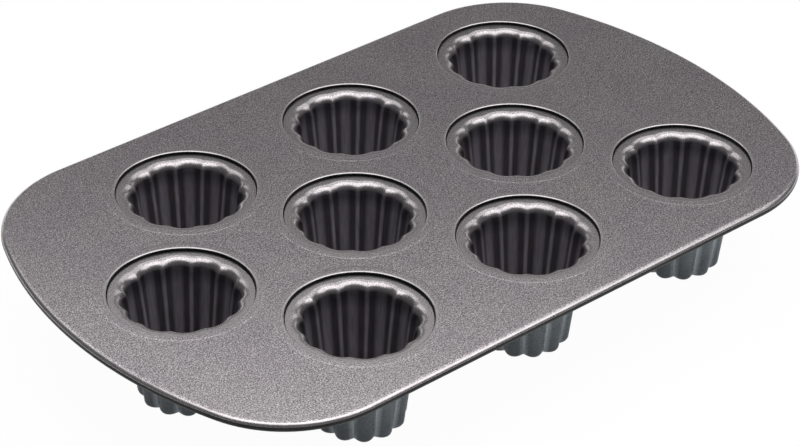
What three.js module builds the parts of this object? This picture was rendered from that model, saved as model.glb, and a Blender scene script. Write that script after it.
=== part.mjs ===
// A canele pan: a flat pressed tray that carries nine deep fluted cups.
// The tray's edge is curled round a stiffening wire, and each cup is a separate drawing
// whose flange is folded over a lip under the tray, so that it hangs in its hole.
// Millimetres, +Z up. The origin is on the surface that the cups stand on, under the tray's centre.
// +X runs along the tray, towards the end that has a plain panel in place of a tenth cup.

import * as THREE from "three";

// Sheet metal
const TRAY_SHEET = 0.5; // thickness of the tray
const CUP_SHEET = 0.4; // thickness of a cup
const SEAM_GAP = 0.1; // clearance between two pieces, in the seams and in the rim

// Fluted cup, inside sizes
const CUP_HEIGHT = 55; // from the foot to the tray's top face
const CUP_MOUTH_RADIUS = 27; // to the crest of a flute, at the top of the wall
const CUP_BASE_RADIUS = 21; // to the crest of a flute, at the foot of the wall
const FLUTE_COUNT = 12;
const FLUTE_DEPTH = 2; // from a flute's crest to the ridge beside it
const SHOULDER_RADIUS = 4; // from the flange round into the wall
const FLANGE_WIDTH = 2; // flat ring that shows between the tray and the shoulder
const BASE_BEND_RADIUS = 3; // from the wall round into the base
const FOOT_WIDTH = 3; // flat ring that the cup stands on
const BASE_RISE = 1.2; // how far the middle of the base is pressed up

// Seam between a cup and the tray
const COLLAR_BEND = 0.3; // inside bend of the hole's turned-down edge
const HEM_OVERLAP = 2.1; // how far the cup's edge is folded back over the tray's lip

// Layout of the wells
const ROW_WELLS = ["left", "centre", "right"];
const ALONG_WEB = 25.3; // tray between the seams of two wells in one row
const DIAGONAL_WEB = 7.5; // tray between the seams of two wells in rows side by side
const END_MARGIN = 19.3; // from a seam to the tray's left end
const PLAIN_END_MARGIN = 33.9; // from a seam to the tray's right end
const SIDE_MARGIN = 16.2; // from a seam to a long side

// Outline and rim of the tray
const END_RADIUS = 220; // bowed short ends
const CORNER_RADIUS = 58;
const RIM_RADIUS = 2.4; // outside of the curled edge

// Each cup is pressed in as it comes: how far its ridges are turned from +X, in degrees.
const RIDGE_TURNS = {
  back: [6, 12, 28],
  middle: [14, 18, 21],
  front: [13, 18, 14],
};

// Facets
const CIRCLE_STEPS = 2 * FLUTE_COUNT;
const FLUTED_STEPS = 2 * CIRCLE_STEPS;
const CORNER_STEPS = 5;
const END_STEPS = 6;
const RIM_STEP = Math.PI / 4;
const RIM_CURL_STEPS = 6; // three quarters of a turn
const WIRE_STEPS = 8; // a whole turn in the same steps, so that wire and curl nest

// Levels of the seam, from the tray's top face down
const TRAY_TOP = CUP_HEIGHT;
const TRAY_UNDER = TRAY_TOP - TRAY_SHEET;
const HEM_TOP = TRAY_UNDER - SEAM_GAP;
const HEM_UNDER = HEM_TOP - CUP_SHEET;
const LIP_TOP = HEM_UNDER - SEAM_GAP;
const LIP_UNDER = LIP_TOP - TRAY_SHEET;
const FLANGE_TOP = LIP_UNDER - SEAM_GAP;
const FLANGE_UNDER = FLANGE_TOP - CUP_SHEET;

// Radii of the seam, from the hole outwards
const SHOULDER_START = CUP_MOUTH_RADIUS + SHOULDER_RADIUS;
const HOLE_RADIUS = SHOULDER_START + FLANGE_WIDTH;
const COLLAR_RADIUS = HOLE_RADIUS + TRAY_SHEET;
const BEND_RADIUS = COLLAR_RADIUS + COLLAR_BEND;
const HEM_INNER_RADIUS = BEND_RADIUS + SEAM_GAP;
const LIP_RADIUS = HEM_INNER_RADIUS + HEM_OVERLAP;
const HEM_CORNER_RADIUS = LIP_RADIUS + SEAM_GAP;
const SEAM_RADIUS = HEM_CORNER_RADIUS + CUP_SHEET;

// Pitches of the wells and overall size of the tray
const WELL_PITCH = 2 * SEAM_RADIUS + ALONG_WEB;
const ROW_PITCH = Math.sqrt((2 * SEAM_RADIUS + DIAGONAL_WEB) ** 2 - (WELL_PITCH / 2) ** 2);
const ROW_LENGTH = (ROW_WELLS.length - 1) * WELL_PITCH;
const TRAY_LENGTH = ROW_LENGTH + WELL_PITCH / 2 + 2 * SEAM_RADIUS + END_MARGIN + PLAIN_END_MARGIN;
const TRAY_WIDTH = 2 * (ROW_PITCH + SEAM_RADIUS + SIDE_MARGIN);

// The middle row starts at the left end, and the outer rows half a pitch further along.
const FIRST_WELL_X = -TRAY_LENGTH / 2 + END_MARGIN + SEAM_RADIUS;
const ROWS = [
  { name: "back", startX: FIRST_WELL_X + WELL_PITCH / 2, y: ROW_PITCH },
  { name: "middle", startX: FIRST_WELL_X, y: 0 },
  { name: "front", startX: FIRST_WELL_X + WELL_PITCH / 2, y: -ROW_PITCH },
];

const wells = ROWS.flatMap((row) =>
  ROW_WELLS.map((place, index) => ({
    name: `cup_${row.name}_${place}`,
    x: row.startX + index * WELL_PITCH,
    y: row.y,
    turn: THREE.MathUtils.degToRad(RIDGE_TURNS[row.name][index]),
  })),
);

// Triangles of a closed surface, gathered as plain positions.
class Surface {
  constructor() {
    this.positions = [];
  }

  triangle(a, b, c) {
    for (const point of [a, b, c]) this.positions.push(point.x, point.y, point.z);
  }

  // Joins two rings of points. The finer ring has as many points as the other, or twice as many.
  band(from, to) {
    const count = Math.max(from.length, to.length);
    const pick = (ring, index) => ring[Math.round((index * ring.length) / count) % ring.length];
    for (let i = 0; i < count; i++) {
      const [a, b, c, d] = [pick(from, i), pick(to, i), pick(to, i + 1), pick(from, i + 1)];
      if (b !== c) this.triangle(a, b, c);
      if (a !== d) this.triangle(a, c, d);
    }
  }

  // Joins a list of rings, one to the next.
  skin(rings) {
    for (let i = 1; i < rings.length; i++) this.band(rings[i - 1], rings[i]);
  }

  // A flat face with holes, facing up or down.
  face(outline, holes, facesUp) {
    const points = [outline, ...holes].flat();
    const flat = (ring) => ring.map((point) => new THREE.Vector2(point.x, point.y));
    for (const [i, j, k] of THREE.ShapeUtils.triangulateShape(flat(outline), holes.map(flat))) {
      const [a, b, c] = [points[i], points[j], points[k]];
      const upward = (b.x - a.x) * (c.y - a.y) > (b.y - a.y) * (c.x - a.x);
      if (upward === facesUp) this.triangle(a, b, c);
      else this.triangle(a, c, b);
    }
  }

  geometry() {
    const made = new THREE.BufferGeometry();
    made.setAttribute("position", new THREE.Float32BufferAttribute(this.positions, 3));
    made.computeVertexNormals();
    return made;
  }
}

// The tray's outline at a level, moved in from the edge, as points in anticlockwise order.
function outlineRing(inset, z) {
  const endCentre = TRAY_LENGTH / 2 - END_RADIUS;
  const cornerY = TRAY_WIDTH / 2 - CORNER_RADIUS;
  const cornerX = endCentre + Math.sqrt((END_RADIUS - CORNER_RADIUS) ** 2 - cornerY ** 2);
  const bow = Math.atan2(cornerY, cornerX - endCentre);
  const quarter = [];
  for (let i = 0; i < END_STEPS / 2; i++) {
    const angle = (bow * i) / (END_STEPS / 2);
    const radius = END_RADIUS - inset;
    quarter.push([endCentre + radius * Math.cos(angle), radius * Math.sin(angle)]);
  }
  for (let i = 0; i <= CORNER_STEPS; i++) {
    const angle = bow + ((Math.PI / 2 - bow) * i) / CORNER_STEPS;
    const radius = CORNER_RADIUS - inset;
    quarter.push([cornerX + radius * Math.cos(angle), cornerY + radius * Math.sin(angle)]);
  }
  const back = [...quarter, ...quarter.slice(1).reverse().map(([x, y]) => [-x, y])];
  const front = back.map(([x, y]) => [-x, -y]);
  return [...back, ...front].map(([x, y]) => new THREE.Vector3(x, y, z));
}

// A point of the rim's section, on a circle round the wire, as how far in from the edge and at what level.
function rimSection(radius, step) {
  const angle = Math.PI / 2 - step * RIM_STEP;
  return [RIM_RADIUS - radius * Math.cos(angle), TRAY_TOP - RIM_RADIUS + radius * Math.sin(angle)];
}

// A ring of points round a well's axis, where the radius may change from point to point.
function ring(count, radiusAt, z, well = { x: 0, y: 0, turn: 0 }) {
  return Array.from({ length: count }, (_, index) => {
    const angle = well.turn + (index * 2 * Math.PI) / count;
    const radius = radiusAt(index);
    return new THREE.Vector3(well.x + radius * Math.cos(angle), well.y + radius * Math.sin(angle), z);
  });
}

function circleRing(radius, z, well) {
  return ring(CIRCLE_STEPS, () => radius, z, well);
}

// A ring of flutes, each bowed out to the crest radius, that meet in ridges of the given depth.
function flutedRing(crestRadius, depth, z) {
  const fluteSteps = FLUTED_STEPS / FLUTE_COUNT;
  const fromCrest = (index) => (2 * (index % fluteSteps)) / fluteSteps - 1;
  return ring(FLUTED_STEPS, (index) => crestRadius - depth * fromCrest(index) ** 2, z);
}

// The turned-down edge of a hole and the lip under it, from the tray's underside round to its top.
// A hole is turned with its cup, so that the facets of the two nest.
function holeRings(well) {
  return [
    circleRing(BEND_RADIUS, TRAY_UNDER, well),
    circleRing(COLLAR_RADIUS, LIP_TOP, well),
    circleRing(LIP_RADIUS, LIP_TOP, well),
    circleRing(LIP_RADIUS, LIP_UNDER, well),
    circleRing(HOLE_RADIUS, LIP_UNDER, well),
    circleRing(HOLE_RADIUS, TRAY_UNDER - COLLAR_BEND, well),
    circleRing(BEND_RADIUS, TRAY_TOP, well),
  ];
}

function trayGeometry() {
  const surface = new Surface();
  const rim = [];
  for (let step = 0; step <= RIM_CURL_STEPS; step++) {
    rim.push(outlineRing(...rimSection(RIM_RADIUS, step)));
  }
  for (let step = RIM_CURL_STEPS; step >= 0; step--) {
    rim.push(outlineRing(...rimSection(RIM_RADIUS - TRAY_SHEET, step)));
  }
  surface.skin(rim);
  const holes = wells.map(holeRings);
  for (const rings of holes) surface.skin(rings);
  surface.face(rim[0], holes.map((rings) => rings.at(-1)), true);
  surface.face(rim.at(-1), holes.map((rings) => rings[0]), false);
  return surface.geometry();
}

function wireGeometry() {
  const surface = new Surface();
  const rings = [];
  for (let step = 0; step <= WIRE_STEPS; step++) {
    rings.push(outlineRing(...rimSection(RIM_RADIUS - TRAY_SHEET - SEAM_GAP, step % WIRE_STEPS)));
  }
  surface.skin(rings);
  return surface.geometry();
}

// One face of a cup's sheet, from the middle of the base out to the top of the fluted wall.
// The outside face lies a sheet's thickness outside the inside face.
function cupWall(thickness) {
  const baseZ = CUP_SHEET - thickness;
  const footRadius = CUP_BASE_RADIUS - BASE_BEND_RADIUS;
  return [
    [new THREE.Vector3(0, 0, baseZ + BASE_RISE)],
    circleRing(footRadius - FLUTE_DEPTH - FOOT_WIDTH, baseZ),
    flutedRing(footRadius, FLUTE_DEPTH, baseZ),
    flutedRing(CUP_BASE_RADIUS + thickness, FLUTE_DEPTH, CUP_SHEET + BASE_BEND_RADIUS),
    flutedRing(CUP_MOUTH_RADIUS + thickness, FLUTE_DEPTH, FLANGE_TOP - SHOULDER_RADIUS),
  ];
}

// The rounded shoulder, halfway between the wall and the flange, where the flutes fade.
function shoulderRing() {
  const radius = SHOULDER_START - SHOULDER_RADIUS * Math.SQRT1_2;
  const z = FLANGE_TOP - SHOULDER_RADIUS * (1 - Math.SQRT1_2);
  return flutedRing(radius, FLUTE_DEPTH / 2, z);
}

// A cup round its own axis: up the inside, round the folded hem and down the outside.
function cupGeometry() {
  const surface = new Surface();
  surface.skin([
    ...cupWall(0),
    shoulderRing(),
    circleRing(SHOULDER_START, FLANGE_TOP),
    circleRing(HEM_CORNER_RADIUS, FLANGE_TOP),
    circleRing(HEM_CORNER_RADIUS, HEM_UNDER),
    circleRing(HEM_INNER_RADIUS, HEM_UNDER),
    circleRing(HEM_INNER_RADIUS, HEM_TOP),
    circleRing(SEAM_RADIUS, HEM_TOP),
    circleRing(SEAM_RADIUS, FLANGE_UNDER),
    circleRing(SHOULDER_START, FLANGE_UNDER),
    ...cupWall(CUP_SHEET).reverse(),
  ]);
  return surface.geometry();
}

const trayCoating = new THREE.MeshStandardMaterial({ color: 0x77716f, roughness: 0.5, metalness: 0.6 });
const cupCoating = new THREE.MeshStandardMaterial({ color: 0x55585a, roughness: 0.55, metalness: 0.5 });
const wireSteel = new THREE.MeshStandardMaterial({ color: 0xa6a6a3, roughness: 0.35, metalness: 1 });

function named(name, geometry, material) {
  const mesh = new THREE.Mesh(geometry, material);
  mesh.name = name;
  return mesh;
}

const pan = new THREE.Group();
pan.name = "canele_pan";
pan.add(named("tray_plate", trayGeometry(), trayCoating));
pan.add(named("rim_wire", wireGeometry(), wireSteel));

const cup = cupGeometry();
for (const well of wells) {
  const mesh = named(well.name, cup, cupCoating);
  mesh.position.set(well.x, well.y, 0);
  mesh.rotation.z = well.turn;
  pan.add(mesh);
}

export default pan;
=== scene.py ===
"""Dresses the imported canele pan: smooth sheet metal in place of the solids, coatings, light and camera.

Shapes are worked out in millimetres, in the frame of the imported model, and become metres when a piece is
made. The floor and the lights are in metres.
"""
import math

import bpy
import bmesh
from mathutils import Matrix, Vector
from mathutils.geometry import tessellate_polygon


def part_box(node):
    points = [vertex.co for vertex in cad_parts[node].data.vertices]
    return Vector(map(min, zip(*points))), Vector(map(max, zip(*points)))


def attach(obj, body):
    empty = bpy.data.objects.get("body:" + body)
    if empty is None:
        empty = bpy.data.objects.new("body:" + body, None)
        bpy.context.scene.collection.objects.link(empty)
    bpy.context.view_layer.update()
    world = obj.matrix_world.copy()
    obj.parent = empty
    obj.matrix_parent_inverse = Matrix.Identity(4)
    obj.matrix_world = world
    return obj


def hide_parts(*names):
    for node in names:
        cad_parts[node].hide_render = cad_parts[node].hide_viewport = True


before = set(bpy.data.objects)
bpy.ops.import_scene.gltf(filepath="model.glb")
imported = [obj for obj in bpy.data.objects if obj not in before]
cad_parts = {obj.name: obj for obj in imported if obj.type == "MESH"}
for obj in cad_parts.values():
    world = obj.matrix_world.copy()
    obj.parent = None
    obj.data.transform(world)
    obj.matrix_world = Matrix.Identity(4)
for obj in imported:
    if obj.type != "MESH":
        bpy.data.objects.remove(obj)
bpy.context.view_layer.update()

MM = 0.001

# Sheet metal
TRAY_SHEET = 0.5
CUP_SHEET = 0.4
SEAM_GAP = 0.1

# Tray: bowed ends, round corners and a rolled rim, with a painted highlight (the brighter coating) between
# two tilts of its face and painted shade (the near-black coating) beyond the second
END_RADIUS = 220
CORNER_RADIUS = 58
RIM_RADIUS = 2.4
RIM_CURL = math.radians(270)
RIM_MARGIN = 0.8
PAINTED_HIGHLIGHT_TILT = math.radians(20)
PAINTED_SHADE_TILT = math.radians(70)

# Fluted cup, inside sizes
CUP_MOUTH_RADIUS = 25.6
CUP_BASE_RADIUS = 21
FLUTE_COUNT = 12
FLUTE_DEPTH = 2.8
MOUTH_FLUTE_DEPTH = 1.8
FLANGE_FLUTE_DEPTH = 1
RIDGE_ROUND = 0.2
SHOULDER_WIDTH = 4.6
SHOULDER_DROP = 7
FLANGE_WIDTH = 2.8
FLANGE_SUPPORT = 0.6
BASE_BEND_RADIUS = 3
FOOT_WIDTH = 3
FOOT_MARGIN = 1
BASE_RISE = 1.2

# Where the flutes begin on the base: distance inside its bend, and the share of their depth there
FLUTE_STARTS = ((2, 0.55), (1, 0.9))

# Places round half a flute, from the ridge (0) to the crest (1), closer together at the ridge
FLUTE_PLACES = (0, 0.06, 0.12, 0.19, 0.27, 0.38, 0.52, 0.74, 1)

# How far each cup's ridges are turned from +X, in degrees
RIDGE_TURNS = {
    "cup_back_left": 6, "cup_back_centre": 12, "cup_back_right": 28,
    "cup_middle_left": 14, "cup_middle_centre": 18, "cup_middle_right": 21,
    "cup_front_left": 13, "cup_front_centre": 18, "cup_front_right": 14,
}

# Seam between a cup and the tray. The flange's painted shadow, the near-black coating where the tray's edge
# shades it, starts SEAM_SHADE inside the hole
SHOULDER_START = CUP_MOUTH_RADIUS + SHOULDER_WIDTH
HOLE_RADIUS = SHOULDER_START + FLANGE_WIDTH
FLANGE_DEPTH = 2 * TRAY_SHEET + CUP_SHEET + 3 * SEAM_GAP
LIP_RADIUS = HOLE_RADIUS + 2.7
HEM_START = HOLE_RADIUS + 1.7
HEM_RADIUS = HOLE_RADIUS + 3.5
SEAM_SHADE = 0.5

# A hole's edge: the radius of its round, and the width of a flat ring outside it. The ring and the top of
# the round carry a painted highlight, the brighter coating; the rest of the round carries painted shade
EDGE_ROUND = 0.7
EDGE_HIGHLIGHT_RING = 0.5

# Collar below a hole's edge, with small bends where it meets the lip and, behind, the tray
COLLAR_LEAN = math.radians(45)
COLLAR_BACK = 0.6
COLLAR_FOOT = 0.15
LIP_BEND = 0.2
BACK_BEND = 0.3
BACK_STEP = 0.1

# Faint pressed ring round a hole, and the plain rings either side that keep the plate's shading flat
PRESS_RADIUS = HOLE_RADIUS + 4.1
PRESS_WIDTH = 0.9
PRESS_RISE = 0.045
PRESS_INNER_SUPPORT = 1.5
PRESS_OUTER_SUPPORT = 1
HOLE_MARGIN = 2

# How finely round stretches are divided
END_STEPS = 20
CORNER_STEPS = 20
SIDE_STEPS = 24
RIM_STEPS = 27
WIRE_STEPS = 16
HOLE_STEPS = 144
PRESS_STEPS = 6
EDGE_STEPS = 12
HIGHLIGHT_EDGE_STEPS = 5
LIP_STEPS = 4
DISH_STEPS = 6
BEND_STEPS = 7
WALL_STEPS = 8
SHOULDER_STEPS = 16
HEM_INNER_STEPS = 6
HEM_TIP_STEPS = 4
HEM_OUTER_STEPS = 10

# Finishes, as places in the lists of materials of the tray and of a cup. The third of each is painted shade,
# the near-black coating, and the tray's fourth a painted highlight, the brighter coating
COATED, UNDERSIDE, PAINTED_SHADE, PAINTED_HIGHLIGHT = range(4)
INSIDE, OUTSIDE, SEAM_PAINTED_SHADE = range(3)

# Coatings: size of the flakes, depths under the flange between which the walls' film ends, and streaks
FLAKE_SIZE = 0.58
FILM_FULL_DEPTH = 3.4
FILM_END_DEPTH = 0.9
STREAK_WIDTH = 1.1
STREAK_SQUEEZE = 0.03

# Floor that sweeps up into a backdrop, and how much of it glows white when seen and when mirrored
FLOOR_FRONT = -2.2
FLOOR_BACK = 2.4
FLOOR_RISE = 1.1
FLOOR_BEND = 0.5
FLOOR_BEND_STEPS = 12
FLOOR_HALF_WIDTH = 2.6
SEEN_GLOW = 0.97
MIRRORED_GLOW = 0.3

# Lights: distance toward the camera, to its right and up, distance to the right of the aim, size and watts
LIGHTS = {
    "rear_softbox": (-0.52, 0, 0.88, 0, (1.9, 0.56), 4.8),
    "overhead_softbox": (0.2, 0.4, 1.03, 0.4, (2.3, 0.84), 16.9),
    "left_strip": (-1.4, -0.98, 0.24, 0, (0.8, 0.4), 0.95),
    "right_strip": (-1.4, 0.98, 0.24, 0, (0.8, 0.4), 0.95),
}
AIM_HEIGHT = 0.05
WORLD_STRENGTH = 0.1

# Camera, from the nine equal holes and the outline
IMAGE_WIDTH = 800
FOCAL_LENGTH_PIXELS = 2734.3
SENSOR_WIDTH = 36
VIEW_AZIMUTH = math.radians(-40.298)
VIEW_ELEVATION = math.radians(34.067)
VIEW_ROLL = math.radians(0.775)
VIEW_DISTANCE = 1246.9
VIEW_TARGET = Vector((-21.43, -19.70, 0))

TRAY_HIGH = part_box("tray_plate")[1] / MM
TRAY_TOP = TRAY_HIGH.z
FLANGE_TOP = TRAY_TOP - FLANGE_DEPTH


def arc(centre_r, centre_z, radius, start, end, steps):
    """Points on an arc: (r, z) of a section, or (x, y) of a plan, with angles from the first axis."""
    angles = [start + (end - start) * i / steps for i in range(steps + 1)]
    return [(centre_r + radius * math.cos(a), centre_z + radius * math.sin(a)) for a in angles]


def between(first, last, share):
    return first + (last - first) * share


class Skin:
    """A closed surface made of rings of points, in millimetres, with a finish for each face."""

    def __init__(self):
        self.points = []
        self.faces = []
        self.finishes = []

    def ring(self, points):
        first = len(self.points)
        self.points.extend(points)
        return list(range(first, len(self.points)))

    def face(self, corners, finish):
        self.faces.append(corners)
        self.finishes.append(finish)

    def band(self, here, there, finish):
        """Quads between two rings, or triangles to a ring of a single point."""
        count = max(len(here), len(there))
        for i in range(count):
            corners = [here[i % len(here)], there[i % len(there)]]
            corners += [there[(i + 1) % len(there)], here[(i + 1) % len(here)]]
            self.face(list(dict.fromkeys(corners)), finish)

    def sweep(self, loops):
        """Bands through loops of points, each given with the finish of the band that ends at it."""
        rings = [self.ring(points) for points, finish in loops]
        for i in range(1, len(rings)):
            self.band(rings[i - 1], rings[i], loops[i][1])
        return rings

    def flat(self, loops, finish):
        """A flat face inside the first loop, with the other loops as holes."""
        order = [index for loop in loops for index in loop]
        outlines = [[Vector(self.points[index]) for index in loop] for loop in loops]
        for triangle in tessellate_polygon(outlines):
            self.face([order[corner] for corner in triangle], finish)

    def piece(self, name, node, materials):
        """Turns the surface into a piece that stands for a node."""
        mesh = bpy.data.meshes.new(name)
        mesh.from_pydata([tuple(MM * value for value in point) for point in self.points], [], self.faces)
        for material in materials:
            mesh.materials.append(material)
        mesh.polygons.foreach_set("material_index", self.finishes)
        tidy = bmesh.new()
        tidy.from_mesh(mesh)
        bmesh.ops.recalc_face_normals(tidy, faces=tidy.faces)
        tidy.to_mesh(mesh)
        tidy.free()
        mesh.shade_smooth()
        made = bpy.data.objects.new(name, mesh)
        bpy.context.scene.collection.objects.link(made)
        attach(made, "root")
        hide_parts(node)
        return made


def outline_ring(inset, z):
    """The tray's outline at a level, moved in from the edge, anticlockwise."""
    end_centre = TRAY_HIGH.x - END_RADIUS
    corner_y = TRAY_HIGH.y - CORNER_RADIUS
    corner_x = end_centre + math.sqrt((END_RADIUS - CORNER_RADIUS) ** 2 - corner_y ** 2)
    bow = math.atan2(corner_y, corner_x - end_centre)
    quarter = arc(end_centre, 0, END_RADIUS - inset, 0, bow, END_STEPS)[:-1]
    quarter += arc(corner_x, corner_y, CORNER_RADIUS - inset, bow, math.pi / 2, CORNER_STEPS)
    for i in range(1, SIDE_STEPS // 2 + 1):
        quarter.append((corner_x * (1 - 2 * i / SIDE_STEPS), TRAY_HIGH.y - inset))
    back = quarter + [(-x, y) for x, y in reversed(quarter[1:-1])]
    front = [(-x, -y) for x, y in back]
    return [(x, y, z) for x, y in back + front]


def circle(centre, radius, z):
    """A circle round a well, anticlockwise."""
    angles = [2 * math.pi * i / HOLE_STEPS for i in range(HOLE_STEPS)]
    return [(centre.x + radius * math.cos(a), centre.y + radius * math.sin(a), z) for a in angles]


def rim_section():
    """The rim's section: out along the top, round the curl and back along its inside.

    Each point is (inset, z, finish of the stretch that ends there).
    """
    centre_z = TRAY_TOP - RIM_RADIUS
    start, end = math.pi / 2, math.pi / 2 - RIM_CURL
    section = [(RIM_RADIUS + RIM_MARGIN, TRAY_TOP, COATED)]
    for i, (r, z) in enumerate(arc(0, centre_z, RIM_RADIUS, start, end, RIM_STEPS)):
        # Tilts where highlights fall get a painted highlight, the brighter coating, and those further round
        # get painted shade, the near-black coating
        tilt = RIM_CURL * (i - 0.5) / RIM_STEPS
        finish = PAINTED_SHADE
        if tilt < PAINTED_HIGHLIGHT_TILT:
            finish = COATED
        elif tilt < PAINTED_SHADE_TILT:
            finish = PAINTED_HIGHLIGHT
        section.append((RIM_RADIUS - r, z, finish))
    for r, z in arc(0, centre_z, RIM_RADIUS - TRAY_SHEET, end, start, RIM_STEPS):
        section.append((RIM_RADIUS - r, z, UNDERSIDE))
    section.append((RIM_RADIUS + RIM_MARGIN, TRAY_TOP - TRAY_SHEET, UNDERSIDE))
    return section


def hole_section():
    """A hole's section: in along the top, over the edge, down the collar and out under the lip.

    Each point is (r, z, finish of the stretch that ends there).
    """
    quarter_turn = math.pi / 2
    raised_z = TRAY_TOP + PRESS_RISE
    edge_r = HOLE_RADIUS + EDGE_ROUND
    top = [(PRESS_RADIUS + HOLE_MARGIN, TRAY_TOP), (PRESS_RADIUS + PRESS_OUTER_SUPPORT, TRAY_TOP)]
    for i in range(PRESS_STEPS + 1):
        share = i / PRESS_STEPS
        rise = PRESS_RISE * (1 - math.cos(math.pi * share)) / 2
        top.append((PRESS_RADIUS + PRESS_WIDTH * (0.5 - share), TRAY_TOP + rise))
    top += [(PRESS_RADIUS - PRESS_INNER_SUPPORT, raised_z), (edge_r + EDGE_HIGHLIGHT_RING, raised_z)]
    edge = arc(edge_r, raised_z - EDGE_ROUND, EDGE_ROUND, quarter_turn, math.pi + COLLAR_LEAN, EDGE_STEPS)
    # The top of the round carries a painted highlight, the brighter coating; the rest of the round, the
    # collar and the lip carry painted shade, the near-black coating
    highlighted, dark = edge[:HIGHLIGHT_EDGE_STEPS + 1], edge[HIGHLIGHT_EDGE_STEPS + 1:]

    lip_z = FLANGE_TOP + SEAM_GAP
    foot_z = lip_z + COLLAR_FOOT
    foot_r = edge[-1][0] + (edge[-1][1] - foot_z) * math.tan(COLLAR_LEAN)
    dark += [(foot_r, foot_z), (foot_r + LIP_BEND, lip_z), (LIP_RADIUS - LIP_BEND, lip_z)]

    tip = TRAY_SHEET / 2
    under = arc(LIP_RADIUS - tip, lip_z + tip, tip, -quarter_turn, quarter_turn, LIP_STEPS)[1:]
    back_r, back_z = foot_r + COLLAR_BACK, lip_z + TRAY_SHEET
    under += [(back_r + BACK_BEND, back_z), (back_r, back_z + BACK_STEP)]
    back_r, back_z = edge_r + BACK_STEP, TRAY_TOP - TRAY_SHEET
    under += [(back_r, back_z - BACK_STEP), (back_r + BACK_BEND, back_z)]
    under.append((PRESS_RADIUS + HOLE_MARGIN, back_z))
    stretches = ((top, COATED), (highlighted, PAINTED_HIGHLIGHT), (dark, PAINTED_SHADE), (under, UNDERSIDE))
    return [(r, z, finish) for points, finish in stretches for r, z in points]


def make_tray(wells, materials):
    """The pressed sheet, with its curled rim and a lipped hole for each cup."""
    skin = Skin()
    rings = skin.sweep([(outline_ring(inset, z), finish) for inset, z, finish in rim_section()])
    top_loops, under_loops = [rings[0]], [rings[-1]]
    for centre in wells.values():
        rings = skin.sweep([(circle(centre, r, z), finish) for r, z, finish in hole_section()])
        top_loops.append(rings[0])
        under_loops.append(rings[-1])
    skin.flat(top_loops, COATED)
    skin.flat(under_loops, UNDERSIDE)
    skin.piece("pressed_tray", "tray_plate", materials)


def make_wire(material):
    """The round wire inside the rim's curl."""
    skin = Skin()
    radius = RIM_RADIUS - TRAY_SHEET - SEAM_GAP
    section = arc(0, TRAY_TOP - RIM_RADIUS, radius, 0, 2 * math.pi, WIRE_STEPS)[:-1]
    rings = [skin.ring(outline_ring(RIM_RADIUS - r, z)) for r, z in section]
    for i, ring in enumerate(rings):
        skin.band(ring, rings[(i + 1) % len(rings)], 0)
    skin.piece("stiffening_wire", "rim_wire", [material])


def flute_angles():
    """Angles round a cup and, for each, how deep the ridge is there as a share of the flutes' depth."""
    half = math.pi / FLUTE_COUNT
    one = [(half * x, x) for x in FLUTE_PLACES]
    one += [(half * (2 - x), x) for x in reversed(FLUTE_PLACES[1:-1])]
    angles = []
    for flute in range(FLUTE_COUNT):
        for angle, x in one:
            rounded = (1 + RIDGE_ROUND) * x * x / (x + RIDGE_ROUND)
            angles.append((2 * half * flute + angle, (1 - rounded) ** 2))
    return angles


def cup_section(thickness):
    """One face of a cup's sheet as (crest radius, z, flute depth), from the base's middle to the flange."""
    base_z = CUP_SHEET - thickness
    foot_r = CUP_BASE_RADIUS - BASE_BEND_RADIUS
    dish_r = foot_r - FLUTE_DEPTH - FOOT_WIDTH
    section = []
    for i in range(DISH_STEPS + 1):
        share = i / DISH_STEPS
        rise = BASE_RISE * (1 + math.cos(math.pi * share)) / 2
        section.append((dish_r * share, base_z + rise, 0))
    section.append((dish_r + FOOT_MARGIN, base_z, 0))
    section += [(foot_r - inset, base_z, share * FLUTE_DEPTH) for inset, share in FLUTE_STARTS]

    bend_z = CUP_SHEET + BASE_BEND_RADIUS
    wall_top_z = FLANGE_TOP - SHOULDER_DROP
    lean = math.atan2(CUP_MOUTH_RADIUS - CUP_BASE_RADIUS, wall_top_z - bend_z)
    bend = arc(foot_r, bend_z, BASE_BEND_RADIUS + thickness, -math.pi / 2, -lean, BEND_STEPS)
    section += [(r, z, FLUTE_DEPTH) for r, z in bend]

    # The shoulder is a quarter of an ellipse, less the start that is steeper than the wall
    width, drop = SHOULDER_WIDTH - thickness, SHOULDER_DROP - thickness
    start = math.atan(drop / width * math.tan(lean))
    shoulder = []
    for i in range(SHOULDER_STEPS + 1):
        angle = between(start, math.pi / 2, i / SHOULDER_STEPS)
        shoulder.append((SHOULDER_START - width * math.cos(angle), wall_top_z + drop * math.sin(angle)))
    (low_r, low_z), (high_r, high_z) = bend[-1], shoulder[0]
    for i in range(1, WALL_STEPS):
        share = i / WALL_STEPS
        depth = between(FLUTE_DEPTH, MOUTH_FLUTE_DEPTH, share)
        section.append((between(low_r, high_r, share), between(low_z, high_z, share), depth))
    for i, (r, z) in enumerate(shoulder):
        section.append((r, z, between(MOUTH_FLUTE_DEPTH, FLANGE_FLUTE_DEPTH, i / SHOULDER_STEPS)))
    return section


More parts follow.
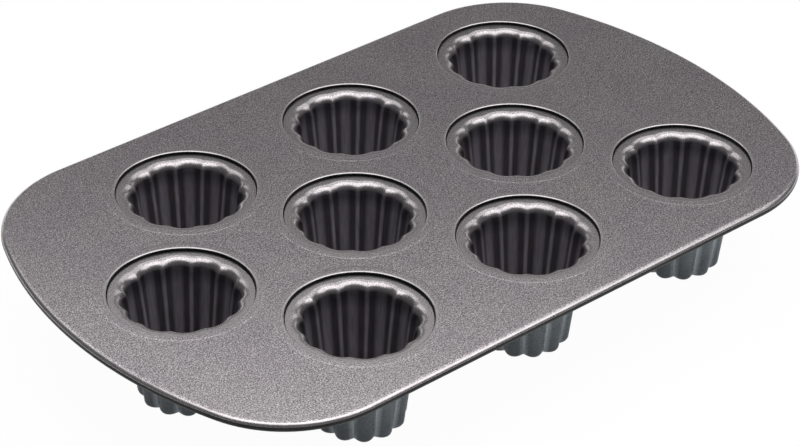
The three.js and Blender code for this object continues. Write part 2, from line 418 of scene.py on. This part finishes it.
def hem_section():
    """The folded edge of a cup's flange, from the flange's top face round to its underside.

    Each point is (r, z, flute depth, finish of the stretch that ends there).
    """
    top_z, under_z = TRAY_TOP - TRAY_SHEET - SEAM_GAP, FLANGE_TOP - CUP_SHEET
    middle_z = (top_z + under_z) / 2
    outer = (top_z - under_z) / 2
    inner = outer - CUP_SHEET
    fold_r = HEM_RADIUS - outer
    quarter_turn = math.pi / 2
    support_r = SHOULDER_START + FLANGE_SUPPORT
    flange = [(support_r, FLANGE_TOP), (HOLE_RADIUS - SEAM_SHADE, FLANGE_TOP)]
    # The flange's outer end, the fold's inside and half its tip carry painted shadow, the near-black
    # coating, where the tray's edge shades them
    seam = arc(fold_r, middle_z, inner, -quarter_turn, quarter_turn, HEM_INNER_STEPS)
    tip_radius = CUP_SHEET / 2
    tip = arc(HEM_START, top_z - tip_radius, tip_radius, 3 * quarter_turn, quarter_turn, HEM_TIP_STEPS)
    tip_middle = HEM_TIP_STEPS // 2 + 1
    seam += tip[:tip_middle]
    outside = tip[tip_middle:]
    outside += arc(fold_r, middle_z, outer, quarter_turn, -quarter_turn, HEM_OUTER_STEPS)
    outside.append((support_r, under_z))
    stretches = ((flange, INSIDE), (seam, SEAM_PAINTED_SHADE), (outside, OUTSIDE))
    return [(r, z, 0, finish) for points, finish in stretches for r, z in points]


def make_cup(node, centre, materials):
    """A fluted cup folded over its hole's lip. Its coatings read the share of ridge at each point."""
    skin = Skin()
    turn = math.radians(RIDGE_TURNS[node])
    angles = flute_angles()
    section = [(*point, INSIDE) for point in cup_section(0)]
    section += hem_section()
    section += [(*point, OUTSIDE) for point in reversed(cup_section(CUP_SHEET))]
    loops, shares = [], []
    for crest, z, depth, finish in section:
        if crest == 0:
            loops.append(([(centre.x, centre.y, z)], finish))
            shares.append(0)
            continue
        points = []
        for angle, ridge in angles:
            r = crest - depth * ridge
            points.append((centre.x + r * math.cos(turn + angle), centre.y + r * math.sin(turn + angle), z))
            shares.append(ridge * min(depth, 1))
        loops.append((points, finish))
    skin.sweep(loops)
    cup = skin.piece(node.replace("cup", "fluted_cup"), node, materials)
    cup.data.attributes.new("ridge", "FLOAT", "POINT").data.foreach_set("value", shares)


class Nodes:
    """A material's nodes, added and linked in short lines."""

    def __init__(self, name):
        self.material = bpy.data.materials.new(name)
        self.material.use_nodes = True
        self.tree = self.material.node_tree
        self.shader = self.tree.nodes["Principled BSDF"]

    def fill(self, socket, value):
        """Links a socket to an output, or gives it a constant."""
        if isinstance(value, bpy.types.NodeSocket):
            self.tree.links.new(value, socket)
        else:
            socket.default_value = value

    def add(self, kind, values=None, **settings):
        node = self.tree.nodes.new(kind)
        for key, value in settings.items():
            setattr(node, key, value)
        for key, value in (values or {}).items():
            self.fill(node.inputs[key], value)
        return node

    def set(self, **values):
        for key, value in values.items():
            self.fill(self.shader.inputs[key.replace("_", " ")], value)

    def place(self):
        return self.add("ShaderNodeTexCoord").outputs["Object"]

    def attribute(self, name):
        return self.add("ShaderNodeAttribute", attribute_name=name).outputs["Fac"]

    def noise(self, size, detail=2.0, roughness=0.5, place=None):
        """Noise whose features are about a size across, in millimetres."""
        if place is None:
            place = self.place()
        values = {"Vector": place, "Scale": 1 / (size * MM), "Detail": detail, "Roughness": roughness}
        return self.add("ShaderNodeTexNoise", values).outputs["Fac"]

    def ramp(self, factor, stops):
        node = self.add("ShaderNodeValToRGB", {"Fac": factor})
        while len(node.color_ramp.elements) < len(stops):
            node.color_ramp.elements.new(0.5)
        for element, (position, colour) in zip(node.color_ramp.elements, stops):
            element.position = position
            element.color = (*colour, 1)
        return node.outputs["Color"]

    def remap(self, value, low, high, to_low=0.0, to_high=1.0):
        values = {"Value": value, "From Min": low, "From Max": high, "To Min": to_low, "To Max": to_high}
        return self.add("ShaderNodeMapRange", values).outputs["Result"]

    def spread(self, noise, low, high):
        """Spreads the usual range of a noise between two values."""
        return self.remap(noise, 0.3, 0.7, low, high)

    def mix(self, factor, one, other, blend="MIX"):
        node = self.add("ShaderNodeMix", data_type="RGBA", blend_type=blend)
        for socket, value in ((node.inputs[0], factor), (node.inputs[6], one), (node.inputs[7], other)):
            self.fill(socket, value)
        return node.outputs[2]

    def combine(self, operation, one, other):
        return self.add("ShaderNodeMath", {0: one, 1: other}, operation=operation).outputs[0]


def speckled_coating():
    """Warm grey metallic non-stick on the tray: fine light and dark flakes in a satin film."""
    nodes = Nodes("tray_coating")
    flakes = nodes.noise(FLAKE_SIZE, detail=2, roughness=0.6)
    colour = nodes.ramp(flakes, [(0.3, (0.088, 0.08, 0.084)), (0.5, (0.33, 0.305, 0.315)),
                                 (0.7, (0.77, 0.735, 0.745))])
    clouds = nodes.noise(35, detail=2)
    tint = nodes.ramp(clouds, [(0.35, (0.94, 0.92, 0.95)), (0.65, (1.0, 1.0, 0.99))])
    nodes.set(Base_Color=nodes.mix(1.0, colour, tint, "MULTIPLY"), Metallic=0.9)
    nodes.set(Roughness=nodes.spread(nodes.noise(1.1), 0.27, 0.33))
    bump = nodes.add("ShaderNodeBump", {"Strength": 0.25, "Distance": 0.00003, "Height": flakes})
    nodes.set(Normal=bump.outputs["Normal"])
    return nodes.material


def cup_coating():
    """Inside a cup: speckled film on the flange, and a darker one where the wall is drawn.

    The wall's film carries painted light: painted highlight on the ridges and in the hollows between them,
    painted shade on their flanks and toward the base and the shoulder, and streaks upright.
    """
    nodes = Nodes("cup_coating")
    flakes = nodes.noise(FLAKE_SIZE, detail=2, roughness=0.6)
    flange = nodes.ramp(flakes, [(0.3, (0.25, 0.232, 0.239)), (0.5, (0.36, 0.335, 0.345)),
                                 (0.7, (0.49, 0.462, 0.472))])
    place = nodes.place()
    height = nodes.add("ShaderNodeSeparateXYZ", {"Vector": place}).outputs["Z"]
    reach = (height, MM * (FLANGE_TOP - FILM_FULL_DEPTH), MM * (FLANGE_TOP - FILM_END_DEPTH))
    # Painted light by share of ridge: painted highlight at the crests and ridge crowns, painted shade on the
    # flanks
    wall = nodes.ramp(nodes.attribute("ridge"), [(0.05, (0.48, 0.442, 0.495)), (0.3, (0.15, 0.137, 0.154)),
                                                 (0.75, (0.15, 0.137, 0.154)), (0.96, (0.57, 0.525, 0.585))])
    squeezed = {0: place, 1: (1, 1, STREAK_SQUEEZE)}
    drawn = nodes.add("ShaderNodeVectorMath", squeezed, operation="MULTIPLY").outputs[0]
    streaks = nodes.noise(STREAK_WIDTH, detail=2.0, roughness=0.6, place=drawn)
    shade = nodes.ramp(streaks, [(0.3, (0.7, 0.7, 0.7)), (0.7, (1, 1, 1))])
    wall = nodes.mix(1.0, wall, shade, "MULTIPLY")
    # Painted shade by height: darker toward the base and toward the shoulder
    level = nodes.remap(height, 0.0, MM * FLANGE_TOP)
    film = nodes.ramp(level, [(0.08, (0.3, 0.3, 0.3)), (0.22, (0.8, 0.8, 0.8)), (0.4, (1, 1, 1)),
                              (0.78, (0.76, 0.76, 0.77)), (0.87, (0.42, 0.42, 0.43)),
                              (0.93, (0.2, 0.2, 0.21))])
    wall = nodes.mix(1.0, wall, film, "MULTIPLY")
    nodes.set(Base_Color=nodes.mix(nodes.remap(*reach, 1.0, 0.0), flange, wall))
    nodes.set(Metallic=nodes.remap(*reach, 0.65, 0.88))
    nodes.set(Roughness=nodes.remap(*reach, 0.33, 0.27))
    return nodes.material


def outside_coating():
    """Smoother blue-grey coating on the underside and the outsides of the cups, with a painted highlight in
    their grooves.
    """
    nodes = Nodes("outside_coating")
    clouds = nodes.noise(14, detail=3)
    colour = nodes.ramp(clouds, [(0.35, (0.128, 0.146, 0.161)), (0.65, (0.168, 0.19, 0.207))])
    # Painted highlight: lighter where the share of ridge inside marks a groove outside
    painted_groove_highlight = nodes.remap(nodes.attribute("ridge"), 0.45, 0.95)
    nodes.set(Base_Color=nodes.mix(painted_groove_highlight, colour, (0.43, 0.47, 0.5, 1)), Metallic=0.55)
    nodes.set(Roughness=nodes.spread(nodes.noise(2.5), 0.26, 0.3))
    return nodes.material


def painted_highlight_coating():
    """Painted highlight: a brighter, flake-free film on the tray's rim and hole edges, where highlights
    fall.
    """
    nodes = Nodes("painted_highlight_coating")
    clouds = nodes.noise(4, detail=3)
    colour = nodes.ramp(clouds, [(0.35, (0.41, 0.385, 0.395)), (0.65, (0.47, 0.442, 0.452))])
    nodes.set(Base_Color=colour, Metallic=0.9)
    nodes.set(Roughness=nodes.spread(nodes.noise(1.1), 0.26, 0.3))
    return nodes.material


def painted_shade_coating():
    """Painted shade: a near-black film where the sheet is rolled under and in the seams, where shade falls.
    """
    nodes = Nodes("painted_shade_coating")
    clouds = nodes.noise(9, detail=3)
    colour = nodes.ramp(clouds, [(0.35, (0.014, 0.014, 0.015)), (0.65, (0.024, 0.024, 0.025))])
    nodes.set(Base_Color=colour, Metallic=0.0, Specular_IOR_Level=0.12)
    nodes.set(Roughness=nodes.spread(nodes.noise(2.0), 0.25, 0.33))
    return nodes.material


def drawn_steel():
    """Plain drawn wire, cloudy and unevenly dull."""
    nodes = Nodes("drawn_steel")
    clouds = nodes.noise(6, detail=4)
    colour = nodes.ramp(clouds, [(0.3, (0.30, 0.30, 0.29)), (0.7, (0.45, 0.45, 0.44))])
    nodes.set(Base_Color=colour, Metallic=1.0)
    nodes.set(Roughness=nodes.spread(nodes.noise(1.5), 0.28, 0.45))
    return nodes.material


def floor_white():
    """White that glows where the camera or a mirroring surface sees it."""
    nodes = Nodes("floor_white")
    nodes.set(Base_Color=(0.9, 0.9, 0.9, 1), Roughness=0.9)
    path = nodes.add("ShaderNodeLightPath").outputs
    mirrored = nodes.combine("MAXIMUM", path["Is Glossy Ray"], path["Is Transmission Ray"])
    mirrored = nodes.combine("MULTIPLY", mirrored, MIRRORED_GLOW)
    seen = nodes.combine("MULTIPLY", path["Is Camera Ray"], SEEN_GLOW)
    share = nodes.combine("MAXIMUM", seen, mirrored)
    glow = nodes.add("ShaderNodeEmission", {"Color": (1, 1, 1, 1), "Strength": 1.0}).outputs[0]
    both = nodes.add("ShaderNodeMixShader", {0: share, 1: nodes.shader.outputs[0], 2: glow})
    nodes.tree.links.new(both.outputs[0], nodes.tree.nodes["Material Output"].inputs["Surface"])
    return nodes.material


def make_floor():
    """A pale floor that sweeps up into a backdrop behind the pan."""
    bend_start = FLOOR_BACK - FLOOR_BEND
    section = [(FLOOR_FRONT, 0.0)]
    section += arc(bend_start, FLOOR_BEND, FLOOR_BEND, -math.pi / 2, 0, FLOOR_BEND_STEPS)
    section.append((FLOOR_BACK, FLOOR_RISE))
    points = [(side * FLOOR_HALF_WIDTH, y, z) for y, z in section for side in (-1, 1)]
    faces = [(2 * i, 2 * i + 1, 2 * i + 3, 2 * i + 2) for i in range(len(section) - 1)]
    mesh = bpy.data.meshes.new("studio_floor")
    mesh.from_pydata(points, [], faces)
    mesh.shade_smooth()
    mesh.materials.append(floor_white())
    floor = bpy.data.objects.new("studio_floor", mesh)
    floor.rotation_euler.z = VIEW_AZIMUTH
    bpy.context.scene.collection.objects.link(floor)


def view_axes():
    """The camera's right, up and backward directions."""
    back = Vector((math.sin(VIEW_AZIMUTH) * math.cos(VIEW_ELEVATION),
                   -math.cos(VIEW_AZIMUTH) * math.cos(VIEW_ELEVATION), math.sin(VIEW_ELEVATION)))
    right = Vector((0, 0, 1)).cross(back).normalized()
    up = back.cross(right)
    turned_right = right * math.cos(VIEW_ROLL) + up * math.sin(VIEW_ROLL)
    turned_up = up * math.cos(VIEW_ROLL) - right * math.sin(VIEW_ROLL)
    return turned_right, turned_up, back


def make_lights():
    """Soft boxes behind and above the pan, and low strips at both sides behind it."""
    back = view_axes()[2]
    up = Vector((0, 0, 1))
    toward = Vector((back.x, back.y, 0)).normalized()
    right = up.cross(toward)
    for name, (near, side, height, aim_side, size, power) in LIGHTS.items():
        lamp = bpy.data.lights.new(name, "AREA")
        lamp.shape = "RECTANGLE"
        lamp.size, lamp.size_y = size
        lamp.energy = power
        made = bpy.data.objects.new(name, lamp)
        made.location = near * toward + side * right + height * up
        aim = aim_side * right + AIM_HEIGHT * up
        made.rotation_euler = (aim - made.location).to_track_quat("-Z", "Y").to_euler()
        bpy.context.scene.collection.objects.link(made)


def make_world():
    world = bpy.data.worlds.new("studio")
    world.use_nodes = True
    shade = world.node_tree.nodes["Background"]
    shade.inputs["Color"].default_value = (1, 1, 1, 1)
    shade.inputs["Strength"].default_value = WORLD_STRENGTH
    bpy.context.scene.world = world


def make_camera():
    right, up, back = view_axes()
    place = (VIEW_TARGET + Vector((0, 0, TRAY_TOP)) + VIEW_DISTANCE * back) * MM
    camera = bpy.data.cameras.new("camera")
    camera.sensor_width = SENSOR_WIDTH
    camera.lens = SENSOR_WIDTH * FOCAL_LENGTH_PIXELS / IMAGE_WIDTH
    made = bpy.data.objects.new("camera", camera)
    made.matrix_world = Matrix.Translation(place) @ Matrix((right, up, back)).transposed().to_4x4()
    bpy.context.scene.collection.objects.link(made)
    bpy.context.scene.camera = made


def main():
    wells = {node: sum(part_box(node), Vector()) / 2 / MM for node in sorted(RIDGE_TURNS)}
    # The near-black coating is painted shade, and the tray's brighter coating on its rim and hole edges a
    # painted highlight
    under_coating = outside_coating()
    painted_shade_material = painted_shade_coating()
    make_tray(wells, [speckled_coating(), under_coating, painted_shade_material, painted_highlight_coating()])
    make_wire(drawn_steel())
    inside_coating = cup_coating()
    for node, centre in wells.items():
        make_cup(node, centre, [inside_coating, under_coating, painted_shade_material])
    make_floor()
    make_lights()
    make_world()
    make_camera()
    bpy.context.scene.view_settings.view_transform = "Standard"


main()
